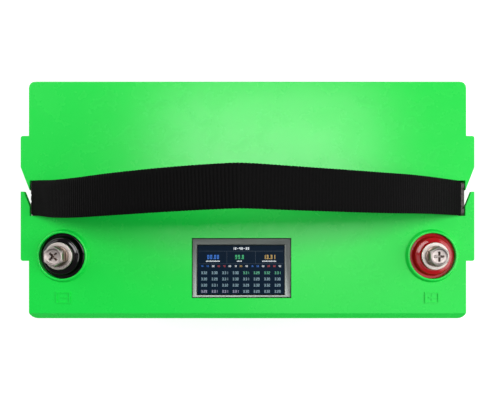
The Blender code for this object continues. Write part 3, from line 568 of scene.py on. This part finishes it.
def thread_rings(bm, under, tip):
    """The shank with its thread, which tapers off at the tip."""
    rings = [ring(bm, ORIGIN, [(SHANK_RADIUS, under)] * TURN_STEPS)]
    start = under - THREAD_START
    for level in range(1, int((start - tip) / THREAD_PITCH * THREAD_STEPS) + 1):
        z = start - level * THREAD_PITCH / THREAD_STEPS
        taper = 0.0008 * max(0.0, 1 - (z - tip) / 0.0012)
        points = []
        for k in range(TURN_STEPS):
            phase = ((under - z) / THREAD_PITCH + k / TURN_STEPS) % 1.0
            tooth = min(1.0, 1.25 * (1 - abs(2 * phase - 1)))
            radius = THREAD_ROOT + (SHANK_RADIUS - THREAD_ROOT) * tooth
            points.append((radius - taper, max(z, tip)))
        rings.append(ring(bm, ORIGIN, points))
    return [*rings, [bm.verts.new((0.0, 0.0, tip))]]


def make_screw(name, centre):
    """A dished hexagon head with a cross recess, on a shank with a cut thread."""
    low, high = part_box(f"{name}_screw")
    top, under = high.z, high.z - HEAD_HEIGHT
    bm = bmesh.new()
    bridge(bm, head_rings(bm, top, under) + thread_rings(bm, under, low.z))
    obj = solid_from(f"{name}_terminal_screw", bm)
    carve(obj, cross_recess(top - HEAD_DISH, CROSS_TURNS[name]))
    obj.data.transform(Matrix.Translation((centre.x, centre.y, 0.0)))
    set_look(obj, HEAD_STEEL)
    # Painted shade: the head's upright flanks and the thread get the darker steel, standing in for the
    # shade on sides that face away from the lights.
    obj.data.materials.append(SPRING_STEEL_AND_FLANK_SHADE.material)
    for face in obj.data.polygons:
        if abs(face.normal.z) < SHADED_FLANK_LEVEL:
            face.material_index = 1
    smooth(obj, 35.0)
    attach(obj, f"{name}_screw")
    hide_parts(f"{name}_screw")


def cross_recess(floor, degrees):
    """The solid that a cross-head recess leaves out: it narrows towards its bottom."""
    arm, width, depth = 0.0040, 0.00095, 0.0032
    mouth, foot = 1.1, 0.55  # how much wider or narrower it is at its two ends
    outline = []
    for quarter in range(4):
        turn = math.pi / 2 * quarter + math.radians(degrees)
        cosine, sine = math.cos(turn), math.sin(turn)
        for x, y in ((arm, width), (width, width), (width, arm)):
            outline.append((x * cosine - y * sine, x * sine + y * cosine))
    bm = bmesh.new()
    upper = [bm.verts.new((x * mouth, y * mouth, floor + 0.002)) for x, y in outline]
    lower = [bm.verts.new((x * foot, y * foot, floor - depth)) for x, y in outline]
    bm.faces.new(upper)
    bm.faces.new(reversed(lower))
    bridge(bm, [upper, lower])
    return solid_from("recess", bm)


def carve(obj, tool):
    """Takes the tool's shape out of obj, for good."""
    step = obj.modifiers.new("carve", "BOOLEAN")
    step.operation = "DIFFERENCE"
    step.object = tool
    bpy.context.view_layer.update()
    graph = bpy.context.evaluated_depsgraph_get()
    mesh = bpy.data.meshes.new_from_object(obj.evaluated_get(graph))
    obj.modifiers.clear()
    obj.data = mesh
    bpy.data.objects.remove(tool)


def make_flat_washer(name, centre):
    low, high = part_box(f"{name}_flat_washer")
    outer = (high.x - low.x) / 2
    corners = [(outer, high.z), (outer, low.z), (WASHER_BORE, low.z), (WASHER_BORE, high.z)]
    bm = bmesh.new()
    lathe(bm, rounded_profile(corners, 0.0004), centre)
    obj = smooth(piece(f"{name}_plain_washer", bm, STEEL, f"{name}_washers"), 50.0)
    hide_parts(f"{name}_flat_washer")


def make_spring_washer(name, centre):
    """One turn of square wire whose two ends stand a little apart."""
    low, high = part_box(f"{name}_spring_washer")
    outer, wire = (high.x - low.x) / 2, 0.0015
    rise = (high.z - low.z) - wire
    start, stop = math.radians(-82), math.radians(270)
    corners = [(outer, wire), (outer, 0.0), (WASHER_BORE, 0.0), (WASHER_BORE, wire)]
    outline = rounded_profile(corners, 0.0003, 2)
    steps = 72
    bm = bmesh.new()
    rings = []
    for k in range(steps + 1):
        t = k / steps
        angle = start + (stop - start) * t
        rings.append([])
        for radius, z in outline:
            x, y = centre.x + radius * math.cos(angle), centre.y + radius * math.sin(angle)
            rings[-1].append(bm.verts.new((x, y, low.z + z + rise * t)))
    bridge(bm, rings)
    bm.faces.new(rings[0])
    bm.faces.new(reversed(rings[-1]))
    obj = smooth(piece(f"{name}_split_washer", bm, SPRING_STEEL_AND_FLANK_SHADE, f"{name}_washers"), 40.0)
    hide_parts(f"{name}_spring_washer")


def make_insert(name, centre, look):
    """The glossy insert in the well: a floor that sweeps up into the wide boss round the post."""
    low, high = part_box(f"{name}_terminal_insert")
    outer = (high.x - low.x) / 2
    floor = LID_TOP - INSERT_DROP
    shoulder = (  # how far in from the boss's side, and how far below its top
        (0.0029, 0.0), (0.0027, 0.00002), (0.0018, 0.00030), (0.0016, 0.00033), (0.0012, 0.00036),
        (0.0009, 0.00042), (0.0005, 0.00060), (0.0002, 0.0010), (0.0001, 0.0015),
    )
    sweep = (  # how far out from the boss's side, and how far above the floor
        (0.0, 0.0016), (0.0002, 0.0009), (0.0006, 0.0003), (0.0011, 0.0), (0.0013, 0.0),
    )
    outline = [(INSERT_BORE, high.z)]
    outline += [(INSERT_BOSS - inward, high.z - drop) for inward, drop in shoulder]
    outline += [(INSERT_BOSS + outward, floor + rise) for outward, rise in sweep]
    outline += [
        (outer, floor), (outer, floor - INSERT_RIM), (INSERT_NECK, floor - INSERT_RIM),
        (INSERT_NECK, low.z), (INSERT_BORE, low.z),
    ]
    bm = bmesh.new()
    lathe(bm, outline, centre)
    obj = smooth(piece(f"{name}_insert", bm, look, "battery"), 40.0)
    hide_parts(f"{name}_terminal_insert")


def make_collar(name, centre):
    """The bead that rounds the rim of the green collar, with a light line where it turns."""
    insert_low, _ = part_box(f"{name}_terminal_insert")
    inner = centre.x - insert_low.x + 0.0001
    crest = LID_HIGH.z + 0.0001
    foot = crest - 0.0016
    corners = [(inner + 0.0014, crest), (inner + 0.0022, foot), (inner, foot), (inner, crest)]
    bm = bmesh.new()
    lathe(bm, rounded_profile(corners, 0.0005, 5), centre)
    smooth(piece(f"{name}_collar_bead", bm, GREEN, "battery"), 60.0)


# ---------------------------------------------------------------- strap ends

BAR_HEIGHT = 0.008
NECK_DROP, LIP_DROP = 0.0050, 0.0018  # how far their tops are below the lid's top
NECK_HALF = (0.0022, 0.0100)  # half the neck's size along x and y
LIP_INNER, LIP_OUTER, LIP_HALF = 0.1557, 0.1581, 0.0115  # its two sides' x, and half its width
TOOTH_PITCH, TOOTH_HALF, TOOTH_HEIGHT = 0.0046, 0.0016, 0.0010
STUD_PITCH, STUD_HALF, STUD_HEIGHT = 0.0060, (0.0013, 0.0009), 0.0002


def make_strap_end(word, side):
    """The moulded bar under the tab, and its neck, whose ribbed lip stands outside the webbing."""
    low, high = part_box(f"strap_end_{word}")
    bar_top = low.z + BAR_HEIGHT
    bm = bmesh.new()
    add_box(bm, low, (high.x, high.y, bar_top))
    bmesh.ops.bevel(bm, geom=list(bm.edges), offset=0.0014, segments=3, affect="EDGES", profile=0.6)
    bar = piece(f"strap_bar_{word}", bm, GREY_PLASTIC, f"strap_end_{word}")
    smooth(bar, 50.0)

    bm = bmesh.new()
    x = side * NECK_X
    neck_top, lip_top = LID_TOP - NECK_DROP, LID_TOP - LIP_DROP
    inner, outer = sorted((side * LIP_INNER, side * LIP_OUTER))

    def stand(x0, x1, y, half_y, bottom, top):
        """A box that starts a little inside what it stands on."""
        add_box(bm, (x0, y - half_y, bottom), (x1, y + half_y, top))

    stand(x - NECK_HALF[0], x + NECK_HALF[0], SLOT_Y, NECK_HALF[1], bar_top - 0.0004, neck_top)
    stand(inner, outer, SLOT_Y, LIP_HALF, neck_top - 0.0002, lip_top)
    for k in range(-2, 3):
        y = SLOT_Y + k * TOOTH_PITCH
        stand(inner, outer, y, TOOTH_HALF, lip_top - 0.0002, lip_top + TOOTH_HEIGHT)
    stud_x = x + side * 0.0042
    for k in range(-2, 3):
        y = SLOT_Y + k * STUD_PITCH
        x0, x1 = stud_x - STUD_HALF[0], stud_x + STUD_HALF[0]
        stand(x0, x1, y, STUD_HALF[1], bar_top - 0.0004, bar_top + STUD_HEIGHT)
    bmesh.ops.bevel(bm, geom=list(bm.edges), offset=0.0002, segments=2, affect="EDGES", profile=0.6)
    collar = piece(f"strap_collar_{word}", bm, GREY_PLASTIC, f"strap_end_{word}")
    smooth(collar, 50.0)
    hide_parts(f"strap_end_{word}")


# ---------------------------------------------------------------- display

SEGMENTS = {
    "0": "abcdef", "1": "bc", "2": "abged", "3": "abgcd", "4": "fgbc", "5": "afgcd",
    "6": "afgedc", "7": "abc", "8": "abcdefg", "9": "abcdfg", ".": "p", "-": "g",
}


INKS = {
    "white": (0.74, 0.80, 0.84), "blue": (0.006, 0.13, 0.55), "green": (0.010, 0.36, 0.12),
    "amber": (0.50, 0.32, 0.07), "red": (0.42, 0.020, 0.03), "pale": (0.24, 0.38, 0.44),
    "mint": (0.09, 0.46, 0.25), "rose": (0.34, 0.34, 0.48), "line": (0.003, 0.022, 0.045),
}
STATUS_ROW = (
    "blue", "blue", "white", "red", "red", "white", "white", "amber",
    "white", "blue", "blue", "white", "red", "red", "white",
)
INK_HEIGHT = 0.00004  # how far a lit bar stands off the screen
INK_STEP = 0.000002  # how much higher each bar of a numeral is than the one before
LINE_HALF, LINE_HEIGHT = 0.0001, 0.00002
DASH_WIDTH, DASH_HEIGHT = 0.0006, 0.00003


def make_bezel():
    """The metal frame round the screen: its face falls inward to a thin lip."""
    low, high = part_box("display_bezel")
    panel_low, panel_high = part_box("display_panel")
    wall = 0.0003  # from the screen's edge to the frame's inner wall
    bottom, top = low.z, high.z
    outer_levels = ((0.0, bottom), (0.0, top - 0.0002), (0.0003, top))
    inner_levels = (  # outwards from the screen's edge, and the heights at the front and the rear
        (wall + 0.0006, top - 0.0003, top - 0.0007), (wall + 0.0005, top - 0.0002, top - 0.0005),
        (wall + 0.0002, top - 0.0001, top - 0.0004), (wall, top - 0.0003, top - 0.0006),
        (wall, bottom, bottom),
    )
    outlines = [(low.x + d, low.y + d, high.x - d, high.y - d, z, z) for d, z in outer_levels]
    outlines += [
        (panel_low.x - d, panel_low.y - d, panel_high.x + d, panel_high.y + d, front, rear)
        for d, front, rear in inner_levels
    ]
    bm = bmesh.new()
    rings = []
    for x0, y0, x1, y1, front, rear in outlines:
        corners = ((x0, y0, front), (x1, y0, front), (x1, y1, rear), (x0, y1, rear))
        rings.append([bm.verts.new(corner) for corner in corners])
    bridge(bm, [*rings, rings[0]])
    frame_piece = smooth(piece("display_frame", bm, BRUSHED, "battery"), 20.0)
    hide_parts("display_bezel")


class Screen:
    """The display's window, with one mesh for each ink that is drawn on it."""

    def __init__(self):
        self.low, self.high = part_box("display_panel")
        self.z = self.high.z + 0.00001
        self.drawn = {ink: bmesh.new() for ink in INKS}

    def at(self, u, v):
        """The place that is u of the way across and v of the way down."""
        width, height = self.high.x - self.low.x, self.high.y - self.low.y
        return self.low.x + u * width, self.high.y - v * height

    def bar(self, ink, x0, y0, x1, y1, height):
        add_box(self.drawn[ink], (x0, y0, self.z), (x1, y1, self.z + height))

    def digits(self, ink, text, u, v, height, aspect=0.56, weight=0.16):
        """Seven-segment numerals, as thin bars standing just off the screen."""
        stroke, width = height * weight, height * aspect
        gap = stroke * 1.5
        advance = [stroke * 1.6 if character == "." else width + gap for character in text]
        centre_x, centre_y = self.at(u, v)
        x = centre_x - (sum(advance) - gap) / 2
        bottom = centre_y - height / 2
        middle, top = bottom + height / 2, bottom + height
        for character, step in zip(text, advance):
            bars = {
                "a": (x, top - stroke, x + width, top),
                "d": (x, bottom, x + width, bottom + stroke),
                "g": (x, middle - stroke / 2, x + width, middle + stroke / 2),
                "f": (x, middle, x + stroke, top),
                "b": (x + width - stroke, middle, x + width, top),
                "e": (x, bottom, x + stroke, middle),
                "c": (x + width - stroke, bottom, x + width, middle),
                "p": (x, bottom, x + stroke, bottom + stroke),
            }
            for k, name in enumerate(SEGMENTS[character]):
                self.bar(ink, *bars[name], INK_HEIGHT + k * INK_STEP)
            x += step

    def caption(self, u, v, length, count):
        """A line of short dashes that stands for a caption."""
        x, y = self.at(u, v)
        for k in range(count):
            x0 = x - length / 2 + k * length / count
            top = y + 0.0003 + 0.0002 * (k % 2)
            self.bar("white", x0, y - 0.0004, x0 + DASH_WIDTH, top, DASH_HEIGHT)

    def upright(self, u, top, bottom):
        x, y0 = self.at(u, bottom)
        _, y1 = self.at(u, top)
        self.bar("line", x - LINE_HALF, y0, x + LINE_HALF, y1, LINE_HEIGHT)

    def level(self, v):
        inset = 0.0006
        _, y = self.at(0, v)
        x0, x1 = self.low.x + inset, self.high.x - inset
        self.bar("line", x0, y - LINE_HALF, x1, y + LINE_HALF, LINE_HEIGHT)


def make_display():
    """What the display shows: three readouts, a status row and a table of values."""
    screen = Screen()
    rng = random.Random(7)
    screen.digits("white", "12-48-30", 0.50, 0.060, 0.0018, weight=0.20)
    readouts = (
        ("blue", "00.00", 0.178, 0.0104, 11),
        ("green", "99.8", 0.483, 0.0038, 4),
        ("amber", "13.31", 0.829, 0.0104, 11),
    )
    for ink, text, u, length, dashes in readouts:
        screen.digits(ink, text, u, 0.235, 0.0030, aspect=0.46)
        screen.caption(u, 0.322, length, dashes)
    for u in (0.337, 0.668):
        screen.upright(u, 0.12, 0.37)
    for v in (0.115, 0.375):
        screen.level(v)
    for k, ink in enumerate(STATUS_ROW):
        text = rng.choice(("0", "1", "7", "4", "5")) + rng.choice(("0", "3", "2"))
        screen.digits(ink, text, 0.05 + 0.90 * k / (len(STATUS_ROW) - 1), 0.425, 0.0012)
    for line in range(4):
        for column in range(8):
            ink = "mint" if line == 0 and column > 3 else "rose" if line == 3 and column < 4 else "pale"
            text = "3." + rng.choice(("30", "31", "29", "32"))
            u, v = 0.073 + 0.1215 * column, 0.562 + 0.128 * line
            screen.digits(ink, text, u, v, 0.0019, aspect=0.52, weight=0.14)
    for ink, bm in screen.drawn.items():
        piece(f"readout_{ink}", bm, make_lit_look(f"lit_{ink}", INKS[ink]), "battery")


# ---------------------------------------------------------------- stage, light and camera


def make_stage():
    bm = bmesh.new()
    bmesh.ops.create_grid(bm, x_segments=1, y_segments=1, size=12.0)
    floor = object_from("floor", bm)
    look = Look("floor_white", (0.50, 0.50, 0.50), 0.8, Emission_Color=(1.0, 1.0, 1.0, 1.0))
    look.shader.inputs["Emission Strength"].default_value = 0.70
    look.bump(look.noise(900.0), 0.02, 0.0002)
    set_look(floor, look)


def area_light(name, location, target, size, power):
    data = bpy.data.lights.new(name, "AREA")
    data.shape = "RECTANGLE"
    data.size, data.size_y = size
    data.energy = power
    lamp = bpy.data.objects.new(name, data)
    bpy.context.scene.collection.objects.link(lamp)
    lamp.location = location
    direction = Vector(target) - Vector(location)
    lamp.rotation_euler = direction.to_track_quat("-Z", "Y").to_euler()


def make_world():
    """A dim, even light from all round, which the camera sees as a pale backdrop."""
    world = bpy.data.worlds.new("studio")
    bpy.context.scene.world = world
    world.use_nodes = True
    nodes, links = world.node_tree.nodes, world.node_tree.links
    background = nodes["Background"]
    background.inputs["Color"].default_value = (1.0, 1.0, 1.0, 1.0)
    background.inputs["Strength"].default_value = 0.13
    backdrop = nodes.new("ShaderNodeBackground")
    backdrop.inputs["Color"].default_value = (0.78, 0.79, 0.80, 1.0)
    rays = nodes.new("ShaderNodeLightPath")
    choice = nodes.new("ShaderNodeMixShader")
    links.new(rays.outputs["Is Camera Ray"], choice.inputs["Fac"])
    links.new(background.outputs["Background"], choice.inputs[1])
    links.new(backdrop.outputs["Background"], choice.inputs[2])
    links.new(choice.outputs["Shader"], nodes["World Output"].inputs["Surface"])


def make_lights():
    """A soft box overhead whose gloss lies across the lid, a weaker one in front, and two fills."""
    area_light("overhead_softbox", (-0.01, 0.335, 1.75), (-0.01, 0.335, 0.2), (0.87, 0.55), 10.4)
    area_light("front_glow", (0.36, -0.24, 1.75), (0.36, -0.24, 0.2), (0.9, 0.4), 1.5)
    area_light("right_fill", (1.55, 0.00, 1.35), (0.0, 0.0, 0.2), (1.9, 1.3), 29.0)
    area_light("left_fill", (-1.55, 0.90, 1.35), (0.0, 0.0, 0.2), (1.9, 1.3), 14.5)


CAMERA_X, CAMERA_Y = 0.020, -0.029
CAMERA_RISE = 0.320  # above the lid's top


def make_camera():
    """Straight down from a little right of and in front of the lid's centre, close above it."""
    data = bpy.data.cameras.new("camera")
    camera = bpy.data.objects.new("camera", data)
    bpy.context.scene.collection.objects.link(camera)
    camera.location = (CAMERA_X, CAMERA_Y, LID_TOP + CAMERA_RISE)
    data.sensor_width = 36.0
    data.lens = 32.0
    data.shift_x = -0.0556
    data.shift_y = 0.0808
    data.clip_start = 0.01
    bpy.context.scene.camera = camera


# ---------------------------------------------------------------- put together

bpy.context.scene.view_settings.view_transform = "Standard"
for node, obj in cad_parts.items():
    set_look(obj, look_of(node))
for node in ("lid", "case_tub"):
    soften(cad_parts[node])
make_strap()
for word, side in SIDES.items():
    make_strap_end(word, side)
for name, centre in TERMINALS.items():
    make_screw(name, centre)
    make_flat_washer(name, centre)
    make_spring_washer(name, centre)
    make_collar(name, centre)
make_insert("negative", TERMINALS["negative"], BLACK_RESIN)
make_insert("positive", TERMINALS["positive"], RED_RESIN)
make_bezel()
make_display()
make_stage()
make_world()
make_lights()
make_camera()
